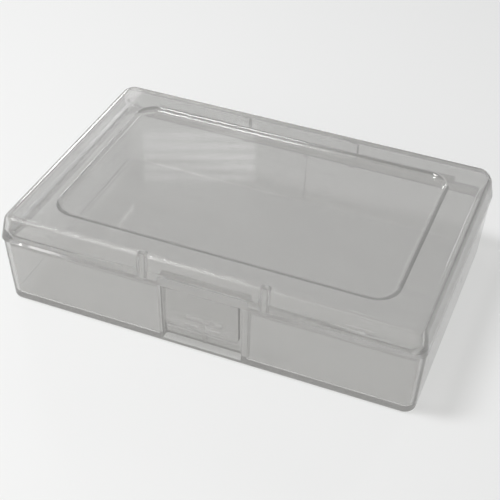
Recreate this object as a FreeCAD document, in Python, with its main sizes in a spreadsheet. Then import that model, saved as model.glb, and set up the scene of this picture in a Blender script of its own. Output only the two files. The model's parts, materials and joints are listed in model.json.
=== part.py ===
import FreeCAD, Part
import math
import os
import Sketcher
from FreeCAD import Placement, Rotation, Vector

# A hinged, clear plastic box for one deck of cards.
# +Z is up, +X runs along the long front wall and +Y points to the hinge.
# The origin is the middle of the face that the box rests on.

DRIVING_SIZES = {
    # the whole box
    "box_length": 100.0,          # lid skirt, end to end
    "box_width": 64.5,            # lid skirt, front to rear
    "parting_height": 17.3,       # where the lid meets the base
    "lid_height": 6.7,            # from there to the top of the box
    "parting_gap": 0.1,
    "wall": 1.2,
    "corner_radius": 2.6,         # upright corners, seen from above
    # base tray
    "rim_setback": 0.25,          # the base rim stands this far inside the lid skirt
    "base_taper": 0.85,           # the foot stands this far inside the rim
    "floor": 1.2,
    "foot_edge_radius": 0.8,
    "well_edge_radius": 1.0,
    "seam_radius": 0.45,          # fine upright bead inside the rear wall
    "seam_offset": 1.8,
    "seam_drop": 2.3,             # the bead stops this far below the rim
    # lid
    "lid_taper": 1.0,             # the top stands this far inside the skirt
    "end_edge_radius": 2.6,       # rounded top edges at the two ends
    "long_edge_radius": 0.7,      # crisp top edges at the front and rear
    "hollow_edge_radius": 0.6,
    "panel_end_margin": 9.8,
    "panel_side_margin": 7.8,
    "panel_corner": 5.0,
    "panel_depth": 1.0,
    "panel_slope": 0.9,
    "lip_drop": 1.6,              # the lip reaches this far below the parting line
    "lip_thickness": 0.8,
    "lip_clearance": 0.15,
    "lip_root": 2.1,              # height over which the lip runs out into the skirt wall
    "post_spacing": 28.6,         # locating posts, centre to centre along the wall
    "post_radius": 1.25,
    "post_setback": 1.75,         # post centre behind the skirt's lower edge
    # latch
    "recess_width": 19.0,
    "recess_depth": 2.9,
    "recess_wall": 1.1,
    "recess_corner": 0.8,
    "cover_thickness": 1.2,       # shelf of the lid that closes the recess from above
    "cover_gap": 0.25,
    "tongue_side_gap": 0.6,       # to each side wall of the recess
    "tongue_thickness": 1.0,
    "tongue_foot": 6.0,           # lower edge of the tongue above the table
    "tongue_corner": 1.2,
    "tongue_gap": 0.05,           # under the lid's skirt
    "hook_reach": 0.4,
    "hook_height": 1.0,
    "hook_length": 3.0,
    "ledge_length": 8.6,
    "ledge_height": 1.0,
    "latch_clearance": 0.1,       # between the tips of the hooks and of the ledge
    "latch_play": 0.7,            # between the hooks and the ledge above them
    "gusset_thickness": 1.0,
    "gusset_gap": 0.7,            # to the hook on each side
    # hinge
    "hinge_offset": 0.35,         # hinge axis behind the lid skirt
    "web_radius": 0.8,
    "web_thickness": 0.3,
    "web_length": 24.0,
    "web_spacing": 56.0,
}

doc = FreeCAD.newDocument("card_deck_box")
sizes = doc.addObject("Spreadsheet::Sheet", "sizes")
for row, (alias, size) in enumerate(DRIVING_SIZES.items(), start=1):
    sizes.set("A%d" % row, alias)
    sizes.set("B%d" % row, str(size))
    sizes.setAlias("B%d" % row, alias)
doc.recompute()

# Levels and outlines that several pieces share, as spreadsheet expressions.
BOX_HEIGHT = "(sizes.parting_height + sizes.lid_height)"
RIM_LEVEL = "sizes.parting_height - sizes.parting_gap / 2"
SKIRT_LEVEL = "sizes.parting_height + sizes.parting_gap / 2"
LIP_LEVEL = "sizes.parting_height - sizes.lip_drop"
HOLLOW_LEVEL = BOX_HEIGHT + " - sizes.wall"
RIM_INSET = "2 * sizes.rim_setback"
FOOT_INSET = "2 * (sizes.rim_setback + sizes.base_taper)"
TOP_INSET = "2 * sizes.lid_taper"
TWO_WALLS = "2 * sizes.wall"
LIP_OUTER_INSET = "2 * (sizes.rim_setback + sizes.wall + sizes.lip_clearance)"
LIP_INNER_INSET = "2 * (sizes.rim_setback + sizes.wall + sizes.lip_clearance + sizes.lip_thickness)"
PANEL_LENGTH = "(sizes.box_length - 2 * sizes.panel_end_margin)"
PANEL_WIDTH = "(sizes.box_width - 2 * sizes.panel_side_margin)"
# the plate under the sloping edge of the panel keeps the wall's thickness
PANEL_RUN = "(sizes.panel_slope / sizes.panel_depth)"
BACKING_SPREAD = "(sizes.wall * (sqrt(1 + %s ^ 2) - %s))" % (PANEL_RUN, PANEL_RUN)
RIM_FRONT = "(sizes.box_width / 2 - sizes.rim_setback)"
RECESS_FLOOR = "(%s - sizes.recess_depth)" % RIM_FRONT
HINGE_Y = "(sizes.box_width / 2 + sizes.hinge_offset)"
# how far the sloping front wall of the base leans in for each millimetre of height
BASE_LEAN = "(sizes.base_taper / (%s))" % RIM_LEVEL
# the tongue's outer face is flush with that wall
TONGUE_ROOT_LEVEL = SKIRT_LEVEL + " - sizes.tongue_gap - sizes.tongue_thickness / 2"
TONGUE_OUTER = "-%s + %s * (%s - (%%s))" % (RIM_FRONT, BASE_LEAN, RIM_LEVEL)
TONGUE_INNER_FOOT = TONGUE_OUTER % "sizes.tongue_foot" + " + sizes.tongue_thickness"
TONGUE_WIDTH = "sizes.recess_width - 2 * sizes.tongue_side_gap"

CLEAR_PAST = 5.0   # how far a cutting solid runs past the face that it opens


def number(expression):
    """The present value of a spreadsheet expression."""
    return float(sizes.evalExpression(expression))


def outline(name, length, width, corner, level):
    """A rounded rectangle, centred on the vertical axis, at a level above the table."""
    sketch = doc.addObject("Sketcher::SketchObject", name)
    half_x, half_y, radius = number(length) / 2, number(width) / 2, number(corner)
    up = Vector(0, 0, 1)
    arcs = []
    for quarter, (side_x, side_y) in enumerate(((1, 1), (-1, 1), (-1, -1), (1, -1))):
        centre = Vector(side_x * (half_x - radius), side_y * (half_y - radius), 0)
        start = quarter * math.pi / 2
        circle = Part.Circle(centre, up, radius)
        arcs.append(sketch.addGeometry(Part.ArcOfCircle(circle, start, start + math.pi / 2)))
    lines = []
    for index, arc in enumerate(arcs):
        following = arcs[(index + 1) % 4]
        begin = sketch.getPoint(arc, 2)
        end = sketch.getPoint(following, 1)
        line = sketch.addGeometry(Part.LineSegment(begin, end))
        lines.append(line)
        sketch.addConstraint(Sketcher.Constraint("Tangent", arc, 2, line, 1))
        sketch.addConstraint(Sketcher.Constraint("Tangent", line, 2, following, 1))
        side = "Horizontal" if index % 2 == 0 else "Vertical"
        sketch.addConstraint(Sketcher.Constraint(side, line))
    for arc in arcs[1:]:
        sketch.addConstraint(Sketcher.Constraint("Equal", arcs[0], arc))
    sketch.addConstraint(Sketcher.Constraint("Symmetric", arcs[0], 3, arcs[2], 3, -1, 1))
    across = (
        ("Radius", (arcs[0], radius), "corner", corner),
        ("DistanceX", (lines[1], 1, lines[3], 1, 2 * half_x), "length", length),
        ("DistanceY", (lines[2], 1, lines[0], 1, 2 * half_y), "width", width),
    )
    for kind, arguments, label, expression in across:
        constraint = sketch.addConstraint(Sketcher.Constraint(kind, *arguments))
        sketch.renameConstraint(constraint, label)
        sketch.setExpression("Constraints." + label, expression)
    sketch.setExpression("Placement.Base.z", level)
    return sketch


def inset_outline(name, inset, corner, level):
    """The box outline drawn in by half of inset on every side."""
    length = "sizes.box_length - (%s)" % inset
    width = "sizes.box_width - (%s)" % inset
    return outline(name, length, width, corner, level)


def loft(name, *sections):
    solid = doc.addObject("Part::Loft", name)
    solid.Sections = list(sections)
    solid.Solid = True
    solid.Ruled = True
    return solid


def block(name, x_from, x_size, y_from, y_size, z_from, z_size):
    """A box with its lowest corner and its three sides given as expressions."""
    solid = doc.addObject("Part::Box", name)
    solid.setExpression("Length", x_size)
    solid.setExpression("Width", y_size)
    solid.setExpression("Height", z_size)
    solid.setExpression("Placement.Base.x", x_from)
    solid.setExpression("Placement.Base.y", y_from)
    solid.setExpression("Placement.Base.z", z_from)
    return solid


def bar(name, radius, length, x_from, y_at, z_at, axis):
    """A round bar along an axis, starting at a point given as expressions."""
    solid = doc.addObject("Part::Cylinder", name)
    solid.setExpression("Radius", radius)
    solid.setExpression("Height", length)
    solid.Placement = Placement(Vector(), Rotation(Vector(0, 0, 1), axis))
    solid.setExpression("Placement.Base.x", x_from)
    solid.setExpression("Placement.Base.y", y_at)
    solid.setExpression("Placement.Base.z", z_at)
    return solid


def cut(name, body, tool):
    solid = doc.addObject("Part::Cut", name)
    solid.Base = body
    solid.Tool = tool
    return solid


def fuse(name, *solids):
    solid = doc.addObject("Part::MultiFuse", name)
    solid.Shapes = list(solids)
    return solid


def common(name, *solids):
    solid = doc.addObject("Part::MultiCommon", name)
    solid.Shapes = list(solids)
    return solid


def round_edges(name, body, radii):
    """Round the edges of a solid; radii(edge) gives the radius at an edge's two ends, or None."""
    doc.recompute()
    rounded = doc.addObject("Part::Fillet", name)
    rounded.Base = body
    chosen = []
    for index, edge in enumerate(body.Shape.Edges, start=1):
        pair = radii(edge)
        if pair:
            chosen.append((index, pair[0], pair[1]))
    rounded.Edges = chosen
    return rounded


def lies_at(edge, level):
    box = edge.BoundBox
    return abs(box.ZMin - level) < 1e-6 and abs(box.ZMax - level) < 1e-6


def level_edges(level, radius):
    """Pick every edge that lies at one level."""
    return lambda edge: (radius, radius) if lies_at(edge, level) else None


def make_base_tray():
    """The lower moulding: a tapered tray whose front wall steps in to make the latch recess."""
    foot = inset_outline("foot_outline", FOOT_INSET, "sizes.corner_radius", "0")
    rim = inset_outline("rim_outline", RIM_INSET, "sizes.corner_radius", RIM_LEVEL)
    tray_block = loft("tray_block", foot, rim)
    tray_block = round_edges("tray_rounded", tray_block, level_edges(0, number("sizes.foot_edge_radius")))

    inner_corner = "sizes.corner_radius - sizes.wall"
    well_floor = inset_outline("well_floor", FOOT_INSET + " + " + TWO_WALLS, inner_corner, "sizes.floor")
    well_mouth = inset_outline("well_mouth", RIM_INSET + " + " + TWO_WALLS, inner_corner, RIM_LEVEL)
    well = loft("well", well_floor, well_mouth)
    well = round_edges("well_rounded", well, level_edges(number("sizes.floor"), number("sizes.well_edge_radius")))
    shell = cut("tray_shell", tray_block, well)

    # the recess is housed in a thickened stretch of the front wall
    housing = block(
        "recess_housing",
        "-sizes.recess_width / 2 - sizes.recess_wall", "sizes.recess_width + 2 * sizes.recess_wall",
        "-sizes.box_width / 2", "sizes.box_width / 2 - %s + sizes.recess_wall" % RECESS_FLOOR,
        "0", RIM_LEVEL)
    housing = common("recess_walls", tray_block, housing)
    hollow = block(
        "recess_hollow",
        "-sizes.recess_width / 2", "sizes.recess_width",
        "-sizes.box_width / 2", "sizes.box_width / 2 - %s" % RECESS_FLOOR,
        "sizes.floor", RIM_LEVEL + " - sizes.floor + %g" % CLEAR_PAST)

    def rear_uprights(edge):
        box = edge.BoundBox
        upright = box.ZLength > CLEAR_PAST and box.XLength + box.YLength < 1e-6
        at_floor = abs(box.YMin + number(RECESS_FLOOR)) < 1e-6
        radius = number("sizes.recess_corner")
        return (radius, radius) if upright and at_floor else None

    hollow = round_edges("recess_rounded", hollow, rear_uprights)

    # the bead leans back with the rear wall
    lower = doc.addObject("Part::Circle", "seam_lower")
    upper = doc.addObject("Part::Circle", "seam_upper")
    wall_inside = "(%s - sizes.wall - %s * (%s - %s))"
    for circle, level in ((lower, "sizes.floor / 2"), (upper, RIM_LEVEL + " - sizes.seam_drop")):
        circle.setExpression("Radius", "sizes.seam_radius")
        circle.setExpression("Placement.Base.x", "sizes.seam_offset")
        circle.setExpression("Placement.Base.y", wall_inside % (RIM_FRONT, BASE_LEAN, RIM_LEVEL, level))
        circle.setExpression("Placement.Base.z", level)
    seam = loft("seam", lower, upper)

    walls = fuse("tray_walls", shell, housing, seam)
    return cut("base_tray", walls, hollow)


def make_latch_catch():
    """The ledge in the recess that the tongue hooks under, with a gusset below it."""
    body = doc.addObject("PartDesign::Body", "latch_catch")
    side_plane = origin_plane(body, "YZ_Plane")
    floor_y = "-" + RECESS_FLOOR
    nose_y = TONGUE_INNER_FOOT + " + sizes.hook_reach + sizes.latch_clearance"
    ledge_bottom = "sizes.tongue_foot + sizes.hook_height + sizes.latch_play"
    # a ledge with a sloping upper face, so that the hook rides over it
    ledge = profile(body, "ledge_profile", side_plane, (
        (floor_y, ledge_bottom),
        (nose_y, ledge_bottom),
        (nose_y, ledge_bottom + " + sizes.ledge_height / 2"),
        (floor_y, ledge_bottom + " + sizes.ledge_height")))
    pad(body, "ledge", ledge, "sizes.ledge_length")
    gusset = profile(body, "gusset_profile", side_plane, (
        (floor_y, "sizes.floor"),
        (nose_y, ledge_bottom),
        (floor_y, ledge_bottom)))
    pad(body, "gusset", gusset, "sizes.gusset_thickness")
    return body


def origin_plane(body, role):
    for feature in body.Origin.OriginFeatures:
        if feature.Role == role:
            return feature
    raise RuntimeError("no plane " + role)


def profile(body, name, plane, corners):
    """A closed polygon on a plane of the body; each corner is a pair of expressions."""
    sketch = body.newObject("Sketcher::SketchObject", name)
    sketch.AttachmentSupport = (plane, [""])
    sketch.MapMode = "FlatFace"
    points = [Vector(number(across), number(up), 0) for across, up in corners]
    lines = []
    for index, point in enumerate(points):
        line = Part.LineSegment(point, points[(index + 1) % len(points)])
        lines.append(sketch.addGeometry(line))
    for index, line in enumerate(lines):
        following = lines[(index + 1) % len(lines)]
        sketch.addConstraint(Sketcher.Constraint("Coincident", line, 2, following, 1))
    for index, line in enumerate(lines):
        for kind, axis, place in (("DistanceX", "across", 0), ("DistanceY", "up", 1)):
            datum = points[index][place]
            constraint = sketch.addConstraint(Sketcher.Constraint(kind, -1, 1, line, 1, datum))
            label = "%s_%d" % (axis, index)
            sketch.renameConstraint(constraint, label)
            sketch.setExpression("Constraints." + label, corners[index][place])
    return sketch


def pad(body, name, sketch, length):
    """Pad a profile by half of length to each side of its plane."""
    feature = body.newObject("PartDesign::Pad", name)
    feature.Profile = sketch
    feature.setExpression("Length", length)
    feature.Midplane = True
    return feature


def make_lid_shell():
    """The upper moulding: a flared cap with a recessed panel, an inner lip and four posts."""
    skirt = inset_outline("skirt_outline", "0", "sizes.corner_radius", SKIRT_LEVEL)
    top = inset_outline("top_outline", TOP_INSET, "sizes.corner_radius", BOX_HEIGHT)
    cap = loft("cap_block", skirt, top)
    height = number(BOX_HEIGHT)
    end_radius = number("sizes.end_edge_radius")
    long_radius = number("sizes.long_edge_radius")
    end_x = number("(sizes.box_length - %s) / 2" % TOP_INSET)

    def top_edges(edge):
        if not lies_at(edge, height):
            return None
        radii = []
        for parameter in (edge.FirstParameter, edge.LastParameter):
            at_end = abs(abs(edge.valueAt(parameter).x) - end_x) < 1e-6
            radii.append(end_radius if at_end else long_radius)
        return tuple(radii)

    cap = round_edges("cap_rounded", cap, top_edges)

    # below the skirt the lip fits inside the rim of the base
    lip_low = inset_outline("lip_low", LIP_OUTER_INSET, "sizes.corner_radius - sizes.wall", LIP_LEVEL)
    lip_high = inset_outline("lip_high", LIP_OUTER_INSET, "sizes.corner_radius - sizes.wall", SKIRT_LEVEL)
    lip = loft("lip_block", lip_low, lip_high)
    solid_lid = fuse("lid_block", cap, lip)

    inner_corner = "sizes.corner_radius - sizes.wall"
    root_level = SKIRT_LEVEL + " + sizes.lip_root"
    # the inside of the skirt at the lip's root, on the line between the skirt and the top
    flare = "%s / (%s - (%s))" % (TOP_INSET, BOX_HEIGHT, SKIRT_LEVEL)
    root_inset = "%s + %s * sizes.lip_root" % (TWO_WALLS, flare)
    hollow_top_inset = "%s + %s * (%s - (%s))" % (TWO_WALLS, flare, HOLLOW_LEVEL, SKIRT_LEVEL)
    hollow = loft(
        "lid_hollow",
        inset_outline("hollow_mouth", LIP_INNER_INSET, inner_corner, LIP_LEVEL),
        inset_outline("hollow_lip", LIP_INNER_INSET, inner_corner, SKIRT_LEVEL),
        inset_outline("hollow_root", root_inset, inner_corner, root_level),
        inset_outline("hollow_top", hollow_top_inset, inner_corner, HOLLOW_LEVEL))
    hollow = round_edges(
        "hollow_rounded", hollow, level_edges(number(HOLLOW_LEVEL), number("sizes.hollow_edge_radius")))

    # the plate under the recessed panel hangs into the hollow
    backing_size = " + 2 * " + BACKING_SPREAD
    backing_corner = "sizes.panel_corner + " + BACKING_SPREAD
    backing = loft(
        "panel_backing",
        outline("backing_low", PANEL_LENGTH + backing_size + " - 2 * sizes.panel_slope",
                PANEL_WIDTH + backing_size + " - 2 * sizes.panel_slope",
                backing_corner + " - sizes.panel_slope", HOLLOW_LEVEL + " - sizes.panel_depth"),
        outline("backing_high", PANEL_LENGTH + backing_size, PANEL_WIDTH + backing_size,
                backing_corner, HOLLOW_LEVEL))

    posts = []
    for side, sign in (("front", "-"), ("rear", "")):
        for end, hand in (("left", "-"), ("right", "")):
            posts.append(bar(
                "post_%s_%s" % (side, end), "sizes.post_radius", HOLLOW_LEVEL + " - (%s)" % LIP_LEVEL,
                hand + "sizes.post_spacing / 2", sign + "(sizes.box_width / 2 - sizes.post_setback)",
                LIP_LEVEL, Vector(0, 0, 1)))
    posts = fuse("posts", *posts)

    # a shelf behind the front skirt closes the latch recess from above
    cover_half = "(sizes.recess_width / 2 + sizes.recess_wall)"
    cover_back = "(%s - sizes.recess_wall)" % RECESS_FLOOR
    cover = block(
        "recess_cover",
        "-" + cover_half, "2 * " + cover_half,
        "-sizes.box_width / 2 + sizes.wall / 2", "sizes.box_width / 2 - sizes.wall / 2 - " + cover_back,
        SKIRT_LEVEL, "sizes.cover_thickness")

    kept = fuse("lid_inside", backing, posts, cover)
    hollow = cut("hollow_around", hollow, kept)
    lid = cut("lid_hollowed", solid_lid, hollow)

    # the lip stops short of the walls of the recess
    notch_half = "(%s + sizes.cover_gap)" % cover_half
    notch = block(
        "lip_notch",
        "-" + notch_half, "2 * " + notch_half,
        "-sizes.box_width / 2", "sizes.box_width / 2 - %s + sizes.cover_gap" % cover_back,
        LIP_LEVEL + " - %g" % CLEAR_PAST, "%g + sizes.lip_drop + sizes.parting_gap / 2" % CLEAR_PAST)
    lid = cut("lid_notched", lid, notch)

    panel = loft(
        "panel_recess",
        outline("panel_floor", PANEL_LENGTH + " - 2 * sizes.panel_slope",
                PANEL_WIDTH + " - 2 * sizes.panel_slope",
                "sizes.panel_corner - sizes.panel_slope", BOX_HEIGHT + " - sizes.panel_depth"),
        outline("panel_above", PANEL_LENGTH + " + 2 * sizes.panel_slope",
                PANEL_WIDTH + " + 2 * sizes.panel_slope",
                "sizes.panel_corner + sizes.panel_slope", BOX_HEIGHT + " + sizes.panel_depth"))
    return cut("lid_shell", lid, panel)


def make_latch_tongue():
    """The springy tongue that hangs from the lid in the recess, with a split hook inside."""
    body = doc.addObject("PartDesign::Body", "latch_tongue")
    side_plane = origin_plane(body, "YZ_Plane")
    outer_root = TONGUE_OUTER % TONGUE_ROOT_LEVEL
    blade = profile(body, "blade_profile", side_plane, (
        (outer_root, TONGUE_ROOT_LEVEL),
        (TONGUE_OUTER % "sizes.tongue_foot", "sizes.tongue_foot"),
        (TONGUE_INNER_FOOT, "sizes.tongue_foot"),
        (outer_root + " + sizes.tongue_thickness", TONGUE_ROOT_LEVEL)))
    pad(body, "blade", blade, TONGUE_WIDTH)

    # round root, centred on the line about which the tongue bends
    root = body.newObject("Sketcher::SketchObject", "root_profile")
    root.AttachmentSupport = (side_plane, [""])
    root.MapMode = "FlatFace"
    radius = number("sizes.tongue_thickness") / 2
    centre = Vector(number(outer_root) + radius, number(TONGUE_ROOT_LEVEL), 0)
    root.addGeometry(Part.Circle(centre, Vector(0, 0, 1), radius))
    bound = (
        (Sketcher.Constraint("Radius", 0, radius), "radius", "sizes.tongue_thickness / 2"),
        (Sketcher.Constraint("DistanceX", -1, 1, 0, 3, centre.x), "across",
         outer_root + " + sizes.tongue_thickness / 2"),
        (Sketcher.Constraint("DistanceY", -1, 1, 0, 3, centre.y), "up", TONGUE_ROOT_LEVEL),
    )
    for constraint, label, expression in bound:
        root.renameConstraint(root.addConstraint(constraint), label)
        root.setExpression("Constraints." + label, expression)
    pad(body, "root", root, TONGUE_WIDTH)

    inside_blade = TONGUE_INNER_FOOT + " - sizes.tongue_thickness / 2"
    tip = TONGUE_INNER_FOOT + " + sizes.hook_reach"
    hook_corners = (
        (inside_blade, "sizes.tongue_foot"),
        (inside_blade, "sizes.tongue_foot + sizes.hook_height"),
        (tip, "sizes.tongue_foot + sizes.hook_height"),
        (tip, "sizes.tongue_foot + sizes.hook_height / 2"),
        (TONGUE_INNER_FOOT, "sizes.tongue_foot"))
    hook_middle = "(sizes.gusset_thickness / 2 + sizes.gusset_gap + sizes.hook_length / 2)"
    for hand, sign in (("left", "-"), ("right", "")):
        hook = profile(body, "hook_%s_profile" % hand, side_plane, hook_corners)
        hook.setExpression("AttachmentOffset.Base.z", sign + hook_middle)
        pad(body, "hook_" + hand, hook, "sizes.hook_length")
    doc.recompute()

    sharp = body.Tip
    corners = body.newObject("PartDesign::Fillet", "tongue_corners")
    foot = number("sizes.tongue_foot")
    half = number(TONGUE_WIDTH) / 2
    chosen = []
    for index, edge in enumerate(sharp.Shape.Edges, start=1):
        box = edge.BoundBox
        if lies_at(edge, foot) and abs(abs(box.XMin) - half) < 1e-6 and box.XLength < 1e-6:
            chosen.append("Edge%d" % index)
    corners.Base = (sharp, chosen)
    corners.setExpression("Radius", "sizes.tongue_corner")
    return body


def make_hinge_web(hand, sign, base_tray, lid_shell):
    """A thin flexible strip that loops behind the box from the base rim to the lid skirt."""
    start = sign + "sizes.web_spacing / 2 - sizes.web_length / 2"
    along = Vector(1, 0, 0)
    name = "hinge_web_" + hand
    outer = bar(name + "_outer", "sizes.web_radius", "sizes.web_length", start, HINGE_Y,
                "sizes.parting_height", along)
    inner = bar(name + "_inner", "sizes.web_radius - sizes.web_thickness", "sizes.web_length",
                start, HINGE_Y, "sizes.parting_height", along)
    ring = cut(name + "_ring", outer, inner)
    behind_base = cut(name + "_behind_base", ring, base_tray)
    return cut(name, behind_base, lid_shell)


base_tray = make_base_tray()
lid_shell = make_lid_shell()
latch_tongue = make_latch_tongue()
pieces = [
    base_tray,
    make_latch_catch(),
    lid_shell,
    latch_tongue,
    make_hinge_web("left", "-", base_tray, lid_shell),
    make_hinge_web("right", "", base_tray, lid_shell),
]
doc.recompute()

for item in doc.Objects:
    if "Invalid" in item.State or "Error" in item.State:
        raise RuntimeError("%s did not compute: %s" % (item.Label, item.State))
for piece in pieces:
    if piece.Shape.isNull() or not piece.Shape.isValid():
        raise RuntimeError("%s has no valid shape" % piece.Label)
    if len(piece.Shape.Solids) != 1:
        raise RuntimeError("%s is %d solids" % (piece.Label, len(piece.Shape.Solids)))

os.makedirs("parts", exist_ok=True)
for piece in pieces:
    piece.Shape.exportStep("parts/%s.step" % piece.Label)
    box = piece.Shape.BoundBox
    print("%-18s volume %8.1f mm3   x %6.2f %6.2f   y %6.2f %6.2f   z %5.2f %5.2f" % (
        piece.Label, piece.Shape.Volume, box.XMin, box.XMax, box.YMin, box.YMax, box.ZMin, box.ZMax))
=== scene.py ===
import bmesh
import bpy
import json
import math
from mathutils import Euler, Matrix, Vector


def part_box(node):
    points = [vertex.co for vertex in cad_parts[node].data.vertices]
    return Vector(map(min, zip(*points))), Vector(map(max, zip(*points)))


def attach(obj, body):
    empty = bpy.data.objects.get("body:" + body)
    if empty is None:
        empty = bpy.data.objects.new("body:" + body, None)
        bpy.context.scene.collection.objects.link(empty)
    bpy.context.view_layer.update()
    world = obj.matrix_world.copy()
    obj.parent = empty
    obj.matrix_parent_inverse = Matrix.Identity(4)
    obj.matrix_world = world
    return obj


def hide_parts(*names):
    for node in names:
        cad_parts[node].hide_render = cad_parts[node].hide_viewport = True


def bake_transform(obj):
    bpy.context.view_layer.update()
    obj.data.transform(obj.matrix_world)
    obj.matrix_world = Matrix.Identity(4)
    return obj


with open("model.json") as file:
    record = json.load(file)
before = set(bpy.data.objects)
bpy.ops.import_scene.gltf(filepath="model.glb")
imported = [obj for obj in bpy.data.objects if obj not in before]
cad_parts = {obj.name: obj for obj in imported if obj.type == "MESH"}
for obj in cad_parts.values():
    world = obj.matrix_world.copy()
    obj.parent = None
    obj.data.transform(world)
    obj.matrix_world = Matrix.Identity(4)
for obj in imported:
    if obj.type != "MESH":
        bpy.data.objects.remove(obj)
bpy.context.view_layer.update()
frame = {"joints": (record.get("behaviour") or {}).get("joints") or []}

MM = 0.001

# The moulded shapes. Outside sizes come from the frame, wall sizes are the moulder's own.
tray_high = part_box("base_tray")[1]
lid_low, lid_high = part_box("lid_shell")
tongue_low, tongue_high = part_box("latch_tongue")
catch_low, catch_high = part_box("latch_catch")

WALL = 1.2 * MM
CORNER = 2.6 * MM
INNER_CORNER = CORNER - WALL
CORNER_STEPS = 10
FILLET_STEPS = 5

SKIRT_LEVEL = 17.35 * MM
LIP_THICKNESS = 0.8 * MM
LIP_SETBACK = 1.6 * MM
LIP_ROOT = 2.1 * MM
TOP_INSET = 1.0 * MM
END_RADIUS = 2.6 * MM
SIDE_RADIUS = 0.7 * MM
HOLLOW_RADIUS = 0.6 * MM
PANEL_END_MARGIN = 9.8 * MM
PANEL_SIDE_MARGIN = 7.8 * MM
PANEL_CORNER = 5.0 * MM
PANEL_DEPTH = 1.0 * MM
PANEL_SLOPE = 0.9 * MM
PANEL_EASE = 0.48 * MM
POST_RADIUS = 1.25 * MM
POST_X = 14.3 * MM
POST_SETBACK = 1.75 * MM

FOOT_INSET = 0.85 * MM
FOOT_RADIUS = 0.8 * MM
WELL_RADIUS = 1.0 * MM
FLOOR = 1.2 * MM
RECESS_HALF = 9.5 * MM
RECESS_DEPTH = 2.9 * MM
RECESS_WALL = 1.1 * MM
RECESS_CORNER = 0.8 * MM
COVER_THICKNESS = 1.2 * MM
COVER_GAP = 0.25 * MM
BEAD_X = 1.8 * MM
BEAD_RADIUS = 0.45 * MM
BEAD_DROP = 2.3 * MM
POST_SIDES = 40
BEAD_SIDES = 24
PANEL_STEPS = 3
RECESS_STEPS = 6
HOUSING_SETBACK = 1.05 * MM
LEAST_CORNER = 0.3 * MM
EDGE_EASE = 0.13 * MM

TONGUE_THICKNESS = 1.0 * MM
TONGUE_CORNER = 1.2 * MM
TONGUE_EASE = 0.1 * MM
HOOK_START = 1.2 * MM
HOOK_LENGTH = 3.0 * MM
HOOK_HEIGHT = 1.0 * MM
LEDGE_LEVEL = 7.7 * MM
CATCH_EASE = 0.08 * MM
CATCH_SEAT = 0.01 * MM
GUSSET_HALF = 0.5 * MM
GUSSET_RAKE = 0.85         # share of its depth that the gusset loses at its foot
ROOT_ROUNDNESS = 0.98      # share of half its thickness that the tongue's root is rounded by
ROOT_STEPS = 6
TONGUE_CORNER_STEPS = 8
FILM_THICKNESS = 0.3 * MM
FILM_SEAT = 0.005 * MM
FILM_STRIP = 1 * MM
FILM_START = math.radians(-152)
FILM_SWEEP = math.radians(282)
FILM_STEPS = 22
FILM_CUTS = 12

PAST = 3.0 * MM          # how far a cutting piece runs past what it cuts
SAME = 1e-6              # two levels closer than this are one level
FOLD_ANGLE = math.radians(20)
CRISP_ANGLE = math.radians(50)

lid_half = Vector((lid_high.x, -lid_low.y))
tray_half = Vector((tray_high.x, tray_high.y))
lid_top = lid_high.z
lip_level = lid_low.z
rim_level = tray_high.z
ceiling = lid_top - WALL
flare = TOP_INSET / (lid_top - SKIRT_LEVEL)
lid_lean = math.atan(flare)
recess_floor = tray_half.y - RECESS_DEPTH
housing_back = recess_floor - RECESS_WALL
housing_half = RECESS_HALF + RECESS_WALL
tray_slope = FOOT_INSET / rim_level
tray_lean = math.atan(tray_slope)


# ---------------------------------------------------------------- bench tools
def pick_only(*objects):
    bpy.ops.object.select_all(action="DESELECT")
    for obj in objects:
        obj.select_set(True)
    bpy.context.view_layer.objects.active = objects[0]


def enter(obj, mode):
    """Open a piece for editing with nothing selected; mode is VERT, EDGE or FACE."""
    pick_only(obj)
    bpy.ops.object.mode_set(mode="EDIT")
    bpy.ops.mesh.select_mode(type=mode)
    bpy.ops.mesh.select_all(action="DESELECT")
    return bmesh.from_edit_mesh(obj.data)


def leave():
    bpy.ops.object.mode_set(mode="OBJECT")


def choose(mesh, elements):
    for element in elements:
        element.select_set(True)
    mesh.select_flush_mode()
    bmesh.update_edit_mesh(bpy.context.object.data)


def rename(name):
    obj = bpy.context.object
    obj.name = name
    obj.data.name = name
    return obj


def settle():
    bpy.ops.object.transform_apply(location=True, rotation=True, scale=True)


def slab(name, low, high):
    """A block between two corners, to be shaped further or to cut with."""
    low, high = Vector(low), Vector(high)
    bpy.ops.object.select_all(action="DESELECT")
    bpy.ops.mesh.primitive_cube_add(size=1, location=(low + high) / 2, scale=high - low)
    settle()
    return rename(name)


def combine(obj, tool, operation):
    """Cut with a tool piece, or join it on, and throw the tool away."""
    pick_only(obj)
    modifier = obj.modifiers.new("combine", "BOOLEAN")
    modifier.operation = operation
    modifier.solver = "EXACT"
    modifier.object = tool
    bpy.ops.object.modifier_apply(modifier=modifier.name)
    bpy.data.objects.remove(tool)
    return obj


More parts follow.
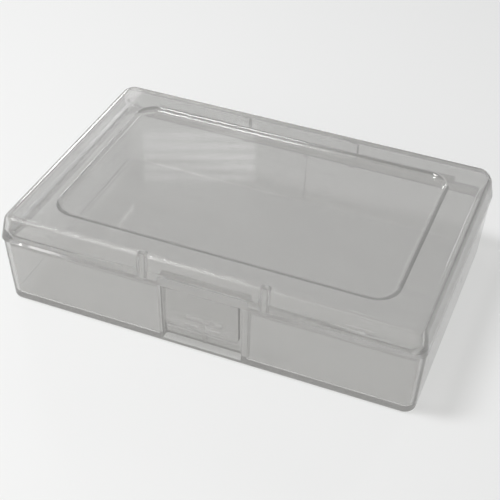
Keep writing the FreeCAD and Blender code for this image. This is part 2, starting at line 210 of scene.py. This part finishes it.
def skin(name, outlines):
    """Carry a rounded outline through a stack of levels, corner by corner, into one closed form.

    Each outline is its half length, half width, corner radius and level.
    """
    half_x, half_y, corner, level = outlines[0]
    bpy.ops.object.select_all(action="DESELECT")
    bpy.ops.mesh.primitive_plane_add(size=2, location=(0, 0, level))
    bpy.ops.transform.resize(value=(half_x, half_y, 1))
    settle()
    obj = rename(name)
    enter(obj, "VERT")
    bpy.ops.mesh.select_all(action="SELECT")
    bpy.ops.mesh.bevel(offset=corner, segments=CORNER_STEPS, affect="VERTICES")
    bpy.ops.mesh.select_all(action="SELECT")
    for before, after in zip(outlines, outlines[1:]):
        rise = after[3] - before[3]
        bpy.ops.mesh.extrude_region_move(TRANSFORM_OT_translate={"value": (0, 0, rise)})
        mesh = bmesh.from_edit_mesh(obj.data)
        ring = [vert for vert in mesh.verts if vert.select]
        grow = after[2] / before[2]
        for side_x in (-1, 1):
            for side_y in (-1, 1):
                bpy.ops.mesh.select_all(action="DESELECT")
                choose(mesh, [vert for vert in ring
                              if vert.co.x * side_x > 0 and vert.co.y * side_y > 0])
                centre = corner_centre(before, side_x, side_y, after[3])
                moved = corner_centre(after, side_x, side_y, after[3])
                bpy.ops.transform.resize(value=(grow, grow, 1), center_override=centre)
                bpy.ops.transform.translate(value=moved - centre)
        bpy.ops.mesh.select_all(action="DESELECT")
        choose(mesh, ring)
    bpy.ops.mesh.select_all(action="SELECT")
    bpy.ops.mesh.normals_make_consistent(inside=False)
    leave()
    return obj


def corner_centre(outline, side_x, side_y, level):
    half_x, half_y, corner = outline[:3]
    return Vector((side_x * (half_x - corner), side_y * (half_y - corner), level))


def ease(obj, picked, width, steps=2):
    """Round the edges that picked(edge) chooses."""
    mesh = enter(obj, "EDGE")
    choose(mesh, [edge for edge in mesh.edges if picked(edge)])
    bpy.ops.mesh.bevel(offset=width, segments=steps, affect="EDGES", clamp_overlap=True)
    leave()
    return obj


def level_edge(level):
    """Make a test for the folded edges that lie at a level."""
    def picked(edge):
        lies_level = all(abs(vert.co.z - level) < SAME for vert in edge.verts)
        return lies_level and edge.is_manifold and edge.calc_face_angle(0) > FOLD_ANGLE
    return picked


def outline_edge(level, half):
    """Make a test for the folded edges at a level that run along the outside of a half size."""
    level_fold = level_edge(level)
    return lambda edge: level_fold(edge) and on_outline(edge, half)


def on_outline(edge, half):
    return all(abs(vert.co.x) > half.x - MM or abs(vert.co.y) > half.y - MM for vert in edge.verts)


def edge_run(edge):
    run = edge.verts[1].co - edge.verts[0].co
    return Vector([abs(part) for part in run])


def finish_mesh(obj, angle=38):
    """Merge doubles, smooth the rounded edges and keep the broad faces flat; angle is in degrees."""
    enter(obj, "VERT")
    bpy.ops.mesh.select_all(action="SELECT")
    bpy.ops.mesh.remove_doubles(threshold=SAME)
    leave()
    pick_only(obj)
    bpy.ops.object.shade_smooth_by_angle(angle=math.radians(angle))
    flatten = obj.modifiers.new("flatten", "WEIGHTED_NORMAL")
    flatten.mode = "FACE_AREA"
    flatten.weight = 100
    flatten.keep_sharp = True
    bpy.ops.object.modifier_apply(modifier=flatten.name)
    return obj


def arc_insets(radius, lean):
    """How far a rounded edge has turned in, and how far below the top plane it is, step by step."""
    sweep = math.pi / 2 - lean
    tangent = radius * math.tan(sweep / 2)
    points = []
    for step in range(FILLET_STEPS + 1):
        turn = sweep * step / FILLET_STEPS
        points.append((tangent - radius * math.sin(turn), radius * (1 - math.cos(turn))))
    return points


def inset_at(drop, radius, lean):
    """How far the rounded top edge stands inside the sharp corner at a depth below the top."""
    sweep = math.pi / 2 - lean
    tangent = radius * math.tan(sweep / 2)
    if drop >= radius * (1 - math.cos(sweep)):
        return -drop * math.tan(lean)
    turn = math.acos(1 - drop / radius)
    return tangent - radius * math.sin(turn)


# ---------------------------------------------------------------- lid
def crown_outlines():
    """Outlines of the lid's rounded top edge: soft at the two ends and crisp at the front and rear."""
    radii = (END_RADIUS, SIDE_RADIUS)
    drops = {drop for radius in radii for _, drop in arc_insets(radius, lid_lean)}
    outlines = []
    for drop in sorted(drops):
        end = inset_at(drop, END_RADIUS, lid_lean)
        side = inset_at(drop, SIDE_RADIUS, lid_lean)
        corner = CORNER - (max(end, 0) + max(side, 0)) / 2
        half_x = lid_half.x - TOP_INSET - end
        half_y = lid_half.y - TOP_INSET - side
        outlines.append((half_x, half_y, corner, lid_top - drop))
    return outlines


def make_lid():
    panel = (lid_half.x - PANEL_END_MARGIN, lid_half.y - PANEL_SIDE_MARGIN)
    outside = [
        (panel[0] - PANEL_SLOPE, panel[1] - PANEL_SLOPE,
         PANEL_CORNER - PANEL_SLOPE, lid_top - PANEL_DEPTH),
        (panel[0], panel[1], PANEL_CORNER, lid_top),
        *crown_outlines(),
        (lid_half.x, lid_half.y, CORNER, SKIRT_LEVEL),
        (lid_half.x - LIP_SETBACK, lid_half.y - LIP_SETBACK, INNER_CORNER, SKIRT_LEVEL),
        (lid_half.x - LIP_SETBACK, lid_half.y - LIP_SETBACK, INNER_CORNER, lip_level)]
    lid = skin("lid", outside)
    ease(lid, level_edge(lid_top - PANEL_DEPTH), PANEL_EASE, PANEL_STEPS)
    top_fold = level_edge(lid_top)
    ease(lid, lambda edge: top_fold(edge) and abs(edge.verts[0].co.x) < panel[0] + MM,
         PANEL_EASE, PANEL_STEPS)
    ease(lid, outline_edge(SKIRT_LEVEL, lid_half), EDGE_EASE)

    lip = LIP_SETBACK + LIP_THICKNESS
    root_level = SKIRT_LEVEL + LIP_ROOT
    root = WALL + flare * LIP_ROOT
    top = WALL + flare * (ceiling - SKIRT_LEVEL)
    spread = WALL * (math.hypot(1, PANEL_SLOPE / PANEL_DEPTH) - PANEL_SLOPE / PANEL_DEPTH)
    hollow = [
        (lid_half.x - lip, lid_half.y - lip, INNER_CORNER, lip_level - PAST),
        (lid_half.x - lip, lid_half.y - lip, INNER_CORNER, SKIRT_LEVEL),
        (lid_half.x - root, lid_half.y - root, INNER_CORNER, root_level)]
    for inset, drop in reversed(arc_insets(HOLLOW_RADIUS, lid_lean)):
        hollow.append((lid_half.x - top - inset, lid_half.y - top - inset,
                       INNER_CORNER, ceiling - drop))
    hollow += [
        (panel[0] + spread, panel[1] + spread, PANEL_CORNER + spread, ceiling),
        (panel[0] + spread - PANEL_SLOPE, panel[1] + spread - PANEL_SLOPE,
         PANEL_CORNER + spread - PANEL_SLOPE, ceiling - PANEL_DEPTH)]
    hollow = skin("hollow", hollow)
    ease(hollow, level_edge(ceiling - PANEL_DEPTH), PANEL_EASE, PANEL_STEPS)

    for side in (-1, 1):
        for hand in (-1, 1):
            bpy.ops.object.select_all(action="DESELECT")
            bpy.ops.mesh.primitive_cylinder_add(
                vertices=POST_SIDES, radius=POST_RADIUS, depth=ceiling + PAST - lip_level + PAST,
                location=(hand * POST_X, side * (lid_half.y - POST_SETBACK), (ceiling + lip_level) / 2))
            settle()
            combine(hollow, rename("post"), "DIFFERENCE")
    cover = slab("cover", (-housing_half, -lid_half.y + WALL / 2, SKIRT_LEVEL),
                 (housing_half, -housing_back, SKIRT_LEVEL + COVER_THICKNESS))
    combine(hollow, cover, "DIFFERENCE")
    combine(lid, hollow, "DIFFERENCE")
    notch_half = housing_half + COVER_GAP
    notch = slab("notch", (-notch_half, -lid_half.y - PAST, lip_level - PAST),
                 (notch_half, -housing_back + COVER_GAP, SKIRT_LEVEL))
    combine(lid, notch, "DIFFERENCE")
    return finish_mesh(lid)


# ---------------------------------------------------------------- base
def make_tray():
    foot = Vector((tray_half.x - FOOT_INSET, tray_half.y - FOOT_INSET))
    outside = []
    for inset, rise in arc_insets(FOOT_RADIUS, tray_lean):
        corner = CORNER - max(inset, 0)
        outside.append((foot.x - inset, foot.y - inset, corner, rise))
    outside += [
        (tray_half.x, tray_half.y, CORNER, rim_level),
        (tray_half.x - WALL, tray_half.y - WALL, INNER_CORNER, rim_level)]
    well_foot = Vector((foot.x - WALL, foot.y - WALL))
    for inset, rise in reversed(arc_insets(WELL_RADIUS, tray_lean)):
        corner = max(INNER_CORNER - max(inset, 0), LEAST_CORNER)
        outside.append((well_foot.x - inset, well_foot.y - inset, corner, FLOOR + rise))
    tray = skin("tray", outside)
    ease(tray, level_edge(rim_level), EDGE_EASE)

    housing = slab("housing", (-housing_half, -tray_half.y + HOUSING_SETBACK, FLOOR / 2),
                   (housing_half, -housing_back, rim_level))
    combine(tray, housing, "UNION")
    pocket = slab("pocket", (-RECESS_HALF, -tray_half.y - PAST, FLOOR),
                  (RECESS_HALF, -recess_floor, rim_level + PAST))
    ease(pocket, lambda edge: all(abs(vert.co.y + recess_floor) < SAME for vert in edge.verts)
         and edge_run(edge).z > MM, RECESS_CORNER, RECESS_STEPS)
    combine(tray, pocket, "DIFFERENCE")

    bead_top = rim_level - BEAD_DROP
    inside = tray_half.y - WALL - math.tan(tray_lean) * (rim_level - FLOOR / 2)
    bpy.ops.object.select_all(action="DESELECT")
    bpy.ops.mesh.primitive_cylinder_add(
        vertices=BEAD_SIDES, radius=BEAD_RADIUS, depth=bead_top - FLOOR / 2,
        location=(BEAD_X, inside, (bead_top + FLOOR / 2) / 2))
    settle()
    bead = rename("bead")
    mesh = enter(bead, "VERT")
    choose(mesh, [vert for vert in mesh.verts if vert.co.z > bead_top - MM])
    bpy.ops.transform.translate(value=(0, math.tan(tray_lean) * (bead_top - FLOOR / 2), 0))
    leave()
    combine(tray, bead, "UNION")
    return finish_mesh(tray)


# ---------------------------------------------------------------- latch
def make_tongue():
    """The springy tongue: a leaning blade with a round root and two hooks on its inner face."""
    outer_foot = -tray_half.y + tray_slope * (rim_level - tongue_low.z)
    shoulder = tongue_high.z - TONGUE_THICKNESS / 2
    outer_root = -tray_half.y + tray_slope * (rim_level - shoulder)
    tongue = slab("tongue", (tongue_low.x, outer_root, tongue_low.z),
                  (tongue_high.x, outer_root + TONGUE_THICKNESS, shoulder))
    mesh = enter(tongue, "FACE")
    choose(mesh, [face for face in mesh.faces if face.normal.z > 0.9])
    bpy.ops.mesh.extrude_region_move(TRANSFORM_OT_translate={"value": (0, 0, TONGUE_THICKNESS / 2)})
    bpy.ops.mesh.select_all(action="DESELECT")
    choose(mesh, [face for face in mesh.faces if face.normal.z < -0.9])
    bpy.ops.transform.translate(value=(0, outer_foot - outer_root, 0))
    leave()
    ease(tongue, lambda edge: all(vert.co.z > tongue_high.z - SAME for vert in edge.verts)
         and edge_run(edge).x > MM, TONGUE_THICKNESS / 2 * ROOT_ROUNDNESS, ROOT_STEPS)
    ease(tongue, lambda edge: all(vert.co.z < tongue_low.z + SAME for vert in edge.verts)
         and edge_run(edge).y > TONGUE_THICKNESS / 2, TONGUE_CORNER, TONGUE_CORNER_STEPS)
    ease(tongue, lambda edge: edge.calc_face_angle(0) > CRISP_ANGLE, TONGUE_EASE)
    inner_foot = outer_foot + TONGUE_THICKNESS
    for hand in (-1, 1):
        near, far = sorted((hand * HOOK_START, hand * (HOOK_START + HOOK_LENGTH)))
        hook = slab("hook", (near, inner_foot - TONGUE_THICKNESS / 2, tongue_low.z + TONGUE_EASE),
                    (far, tongue_high.y, tongue_low.z + HOOK_HEIGHT))
        mesh = enter(hook, "VERT")
        choose(mesh, [vert for vert in mesh.verts
                      if vert.co.y > inner_foot and vert.co.z < tongue_low.z + HOOK_HEIGHT / 2])
        bpy.ops.transform.translate(value=(0, 0, HOOK_HEIGHT / 2))
        leave()
        combine(tongue, hook, "UNION")
    return finish_mesh(tongue)


def make_catch():
    """The ledge on the recess floor that the hooks catch under, and the gusset below it."""
    back = -recess_floor - CATCH_SEAT
    nose = catch_low.y
    catch = slab("catch", (catch_low.x, nose, LEDGE_LEVEL), (catch_high.x, back, catch_high.z))
    mesh = enter(catch, "VERT")
    choose(mesh, [vert for vert in mesh.verts
                  if vert.co.y < nose + SAME and vert.co.z > LEDGE_LEVEL + SAME])
    bpy.ops.transform.translate(value=(0, 0, (LEDGE_LEVEL - catch_high.z) / 2))
    leave()
    ease(catch, lambda edge: all(vert.co.y < nose + SAME for vert in edge.verts), CATCH_EASE)
    gusset = slab("gusset", (-GUSSET_HALF, nose, catch_low.z),
                  (GUSSET_HALF, back, LEDGE_LEVEL + CATCH_EASE))
    mesh = enter(gusset, "VERT")
    choose(mesh, [vert for vert in mesh.verts
                  if vert.co.y < nose + SAME and vert.co.z < catch_low.z + SAME])
    bpy.ops.transform.translate(value=(0, (back - nose) * GUSSET_RAKE, 0))
    leave()
    combine(catch, gusset, "UNION")
    return finish_mesh(catch)


# ---------------------------------------------------------------- hinge
def make_web(node):
    """A film hinge: a thin strip spun round the hinge line, from the base rim to the lid skirt."""
    low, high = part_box(node)
    axis = Vector(frame["joints"][0]["pos_m"])
    radius = (high.z - low.z - FILM_THICKNESS) / 2 - FILM_SEAT
    bpy.ops.object.select_all(action="DESELECT")
    bpy.ops.mesh.primitive_plane_add(size=1, location=((low.x + high.x) / 2, axis.y, axis.z))
    bpy.ops.transform.resize(value=(high.x - low.x, FILM_STRIP, 1))
    settle()
    web = rename(node + "_film")
    mesh = enter(web, "VERT")
    choose(mesh, [vert for vert in mesh.verts if vert.co.y > axis.y])
    bpy.ops.mesh.delete(type="VERT")
    bpy.ops.mesh.select_all(action="SELECT")
    bpy.ops.mesh.subdivide(number_cuts=FILM_CUTS)
    out = radius * math.cos(FILM_START) + FILM_STRIP / 2
    bpy.ops.transform.translate(value=(0, out, radius * math.sin(FILM_START)))
    bpy.ops.mesh.spin(steps=FILM_STEPS, angle=FILM_SWEEP, center=(0, axis.y, axis.z), axis=(1, 0, 0))
    bpy.ops.mesh.select_all(action="SELECT")
    bpy.ops.mesh.remove_doubles(threshold=1e-7)
    leave()
    pick_only(web)
    wall = web.modifiers.new("film", "SOLIDIFY")
    wall.thickness = FILM_THICKNESS
    wall.offset = 0
    bpy.ops.object.modifier_apply(modifier=wall.name)
    enter(web, "VERT")
    bpy.ops.mesh.select_all(action="SELECT")
    bpy.ops.mesh.normals_make_consistent(inside=False)
    leave()
    return finish_mesh(web, 50)


# ---------------------------------------------------------------- finishes
class Flow:
    """A socket that adds Math nodes when it is used in a Python expression."""

    def __init__(self, tree, socket):
        self.tree = tree
        self.socket = socket

    def math(self, operation, other):
        return self.tree.node("ShaderNodeMath", {"operation": operation}, {0: self, 1: other})[0]

    def __add__(self, other):
        return self.math("ADD", other)

    def __mul__(self, other):
        return self.math("MULTIPLY", other)

    __radd__ = __add__
    __rmul__ = __mul__


class Finish:
    """A material under construction; node() adds any node and returns its outputs."""

    def __init__(self, name):
        self.material = bpy.data.materials.new(name)
        self.material.use_nodes = True
        self.tree = self.material.node_tree
        self.tree.nodes.clear()

    def node(self, kind, settings=None, values=None):
        node = self.tree.nodes.new(kind)
        for key, value in (settings or {}).items():
            if key == "stops":
                ramp = node.color_ramp
                for index, (place, shade) in enumerate(value):
                    stop = ramp.elements[index] if index < 2 else ramp.elements.new(place)
                    stop.position = place
                    stop.color = (shade, shade, shade, 1)
            else:
                setattr(node, key, value)
        for key, value in (values or {}).items():
            if isinstance(value, Flow):
                self.tree.links.new(value.socket, node.inputs[key])
            else:
                node.inputs[key].default_value = value
        return [Flow(self, output) for output in node.outputs]

    def place(self):
        return self.node("ShaderNodeTexCoord")[3]

    def noise(self, where, scale, detail=2.0, roughness=0.5, stretch=(1, 1, 1), turn=(0, 0, 0)):
        spread = self.node("ShaderNodeMapping", None,
                           {"Vector": where, "Scale": stretch, "Rotation": turn})[0]
        return self.node("ShaderNodeTexNoise", None,
                         {"Vector": spread, "Scale": scale, "Detail": detail, "Roughness": roughness})[0]

    def ramp(self, value, stops):
        return self.node("ShaderNodeValToRGB", {"stops": stops}, {"Fac": value})[0]

    def close(self, shader):
        self.node("ShaderNodeOutputMaterial", None, {"Surface": shader})
        return self.material


def clear_moulding(name, tint, milk, haze, scratch_turn=0.0):
    """Clear moulded plastic with a milky haze, flow marks, rubbed spots, dust and fine scratches."""
    finish = Finish(name)
    where = finish.place()
    flow = finish.noise(where, 26, 2.0, 0.45, stretch=(0.5, 1.0, 1.0), turn=(0, 0, math.radians(28)))
    ripple = finish.noise(where, 75, 1.5, 0.4)
    rub = finish.ramp(finish.noise(where, 55, 4.0, 0.6), ((0.44, 0.0), (0.72, 1.0)))
    scuffs = scratches(finish, where, (0, 0, math.radians(24) + scratch_turn), 190)
    scuffs = scuffs + scratches(finish, where, (0, 0, math.radians(-51) + scratch_turn), 240)
    dust = finish.node("ShaderNodeTexVoronoi", {"feature": "F1"}, {"Vector": where, "Scale": 420})[0]
    dust = finish.ramp(dust, ((0.035, 1.0), (0.07, 0.0)))

    height = flow * 0.6 + ripple * 0.16 + scuffs * -0.05
    normal = finish.node("ShaderNodeBump", None,
                         {"Height": height, "Strength": 0.018, "Distance": 0.6 * MM})[0]
    roughness = 0.038 + rub * 0.03 + scuffs * 0.2
    milky = finish.node("ShaderNodeMix", {"data_type": "RGBA"},
                        {0: flow, 6: (*milk, 1), 7: (*[channel * 0.94 for channel in milk], 1)})[2]
    clear = finish.node("ShaderNodeBsdfPrincipled", None, {
        "Base Color": (*tint, 1), "Roughness": roughness, "Normal": normal,
        "IOR": 1.49, "Transmission Weight": 1.0})[0]
    cloud = finish.node("ShaderNodeBsdfPrincipled", None, {
        "Base Color": milky, "Roughness": roughness + 0.1, "Normal": normal, "IOR": 1.49})[0]
    cloudy = haze - 0.02 + flow * 0.04 + rub * 0.03 + scuffs * 0.10 + dust * 0.12
    plastic = finish.node("ShaderNodeMixShader", None, {0: cloudy, 1: clear, 2: cloud})[0]
    shadow_tint = [channel * (1 - haze / 4) for channel in tint]
    shadow = finish.node("ShaderNodeBsdfTransparent", None, {"Color": (*shadow_tint, 1)})[0]
    lamp_ray = finish.node("ShaderNodeLightPath")[1]
    whole = finish.node("ShaderNodeMixShader", None, {0: lamp_ray, 1: plastic, 2: shadow})[0]
    return finish.close(whole)


def scratches(finish, where, turn, scale):
    """Short hairlines, all lying one way, broken up by a patchy mask."""
    lines = finish.noise(where, scale, 2.0, 0.5, stretch=(0.05, 1.0, 1.0), turn=turn)
    mask = finish.noise(where, 40, 2.0, 0.5)
    lines = finish.ramp(lines, ((0.64, 0.0), (0.70, 1.0)))
    mask = finish.ramp(mask, ((0.50, 0.0), (0.62, 1.0)))
    return lines * mask


def matt_floor():
    finish = Finish("studio_floor")
    where = finish.place()
    cloud = finish.noise(where, 3.0, 2.0)
    colour = finish.node("ShaderNodeMix", {"data_type": "RGBA"},
                         {0: cloud, 6: (0.87, 0.87, 0.86, 1), 7: (0.84, 0.84, 0.83, 1)})[2]
    surface = finish.node("ShaderNodeBsdfPrincipled", None, {"Base Color": colour, "Roughness": 0.85})[0]
    return finish.close(surface)


# ---------------------------------------------------------------- pieces
def dress(obj, material):
    """Give a piece its one material.

    Diffuse rays pass the clear pieces by. Shadow rays already carry light through the plastic,
    tinted, and a second path for the same light would brighten the floor behind it.
    """
    obj.data.materials.clear()
    obj.data.materials.append(material)
    obj.visible_diffuse = obj.name == "studio_floor"


CLEAR = (0.888, 0.886, 0.878)
MILK = (0.46, 0.456, 0.443)
tray_plastic = clear_moulding("tray_clear_plastic", CLEAR, MILK, 0.24)
lid_plastic = clear_moulding("lid_clear_plastic", CLEAR, MILK, 0.20, 0.9)
latch_plastic = clear_moulding("latch_clear_plastic", CLEAR, MILK, 0.14, 0.4)
film_plastic = clear_moulding("hinge_film_plastic", CLEAR, MILK, 0.26, 1.3)

lid = make_lid()
dress(lid, lid_plastic)
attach(lid, "lid")
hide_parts("lid_shell")

tray = make_tray()
dress(tray, tray_plastic)
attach(tray, "base")
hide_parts("base_tray")

tongue = make_tongue()
dress(tongue, latch_plastic)
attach(tongue, "tongue")
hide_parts("latch_tongue")

catch = make_catch()
dress(catch, latch_plastic)
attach(catch, "base")
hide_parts("latch_catch")

for node in ("hinge_web_left", "hinge_web_right"):
    web = make_web(node)
    dress(web, film_plastic)
    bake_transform(web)
    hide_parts(node)

# ---------------------------------------------------------------- studio
FLOOR_SIZE = 3.0
FLOOR_DROP = 0.02 * MM     # keeps the floor from lying in the plane of the tray's foot
bpy.ops.object.select_all(action="DESELECT")
bpy.ops.mesh.primitive_plane_add(size=FLOOR_SIZE, location=(0, 0, -FLOOR_DROP))
settle()
studio_floor = rename("studio_floor")
dress(studio_floor, matt_floor())


def lamp(name, place, aim, size, power, colour=(1, 1, 1), roll=0):
    """Hang a rectangular lamp that faces its aim, turned by roll degrees about that line."""
    light = bpy.data.lights.new(name, "AREA")
    light.shape = "RECTANGLE"
    light.size, light.size_y = size
    light.energy = power
    light.color = colour
    obj = bpy.data.objects.new(name, light)
    bpy.context.scene.collection.objects.link(obj)
    obj.location = place
    facing = (Vector(place) - Vector(aim)).to_track_quat("Z", "Y").to_matrix()
    obj.rotation_euler = (facing @ Matrix.Rotation(math.radians(roll), 3, "Z")).to_euler()


# one window high on the left for the front edge, small ones behind for the ends and the left
# margin, and a broad weak fill from the front
lamp("front_edge_window", (-0.235, -0.13, 0.56), (-0.02, -0.03, 0.02), (0.13, 0.21), 1.9)
lamp("left_edge_window", (-0.417, 0.432, 0.21), (-0.045, 0, 0.02), (0.11, 0.11), 0.32)
lamp("left_margin_window", (-0.312, 0.427, 0.354), (-0.045, 0, 0.024), (0.03, 0.14), 0.022, roll=-48)
lamp("right_edge_window", (0.17, 0.46, 0.35), (0.045, 0, 0.02), (0.09, 0.09), 0.12)
lamp("front_fill", (0.0, -0.80, 0.30), (0, 0, 0.01), (1.8, 0.5), 2.5, (1.0, 0.98, 0.95))

# five thin strips whose reflection in the lid is like a window with its blind half open
BLIND_PLACE = Vector((-0.22, 0.465, 0.36))
BLIND_AIM = Vector((-0.018, 0.009, 0.023))
BLIND_SLATS = 5
BLIND_PITCH = 0.0095
for slat in range(BLIND_SLATS):
    rise = Vector((0, 0, (slat - (BLIND_SLATS - 1) / 2) * BLIND_PITCH))
    lamp("blind_slat_%d" % slat, BLIND_PLACE + rise, BLIND_AIM + rise, (0.085, 0.0045), 0.0015)

world = bpy.data.worlds.new("studio")
world.use_nodes = True
world.node_tree.nodes["Background"].inputs["Color"].default_value = (0.97, 0.98, 1.0, 1)
world.node_tree.nodes["Background"].inputs["Strength"].default_value = 0.47
bpy.context.scene.world = world
bpy.context.scene.view_settings.view_transform = "Standard"

# ---------------------------------------------------------------- camera
LENGTH = 2 * lid_half.x
AZIMUTH, ELEVATION, ROLL = math.radians(20.65), math.radians(38.65), math.radians(1.94)
DISTANCE = 2.817 * LENGTH
ASIDE, ABOVE = -0.0072 * LENGTH, 0.0523 * LENGTH
LENS_WIDTHS = 2.305      # focal length as a share of the sensor's width
SENSOR = 36.0

camera_data = bpy.data.cameras.new("camera")
camera_data.sensor_width = SENSOR
camera_data.lens = LENS_WIDTHS * SENSOR
camera_data.clip_start = 0.01
camera = bpy.data.objects.new("camera", camera_data)
bpy.context.scene.collection.objects.link(camera)
turn = Euler((math.pi / 2 - ELEVATION, 0, AZIMUTH)).to_matrix() @ Matrix.Rotation(ROLL, 3, "Z")
camera.rotation_euler = turn.to_euler()
camera.location = turn @ Vector((ASIDE, ABOVE, DISTANCE))
bpy.context.scene.camera = camera
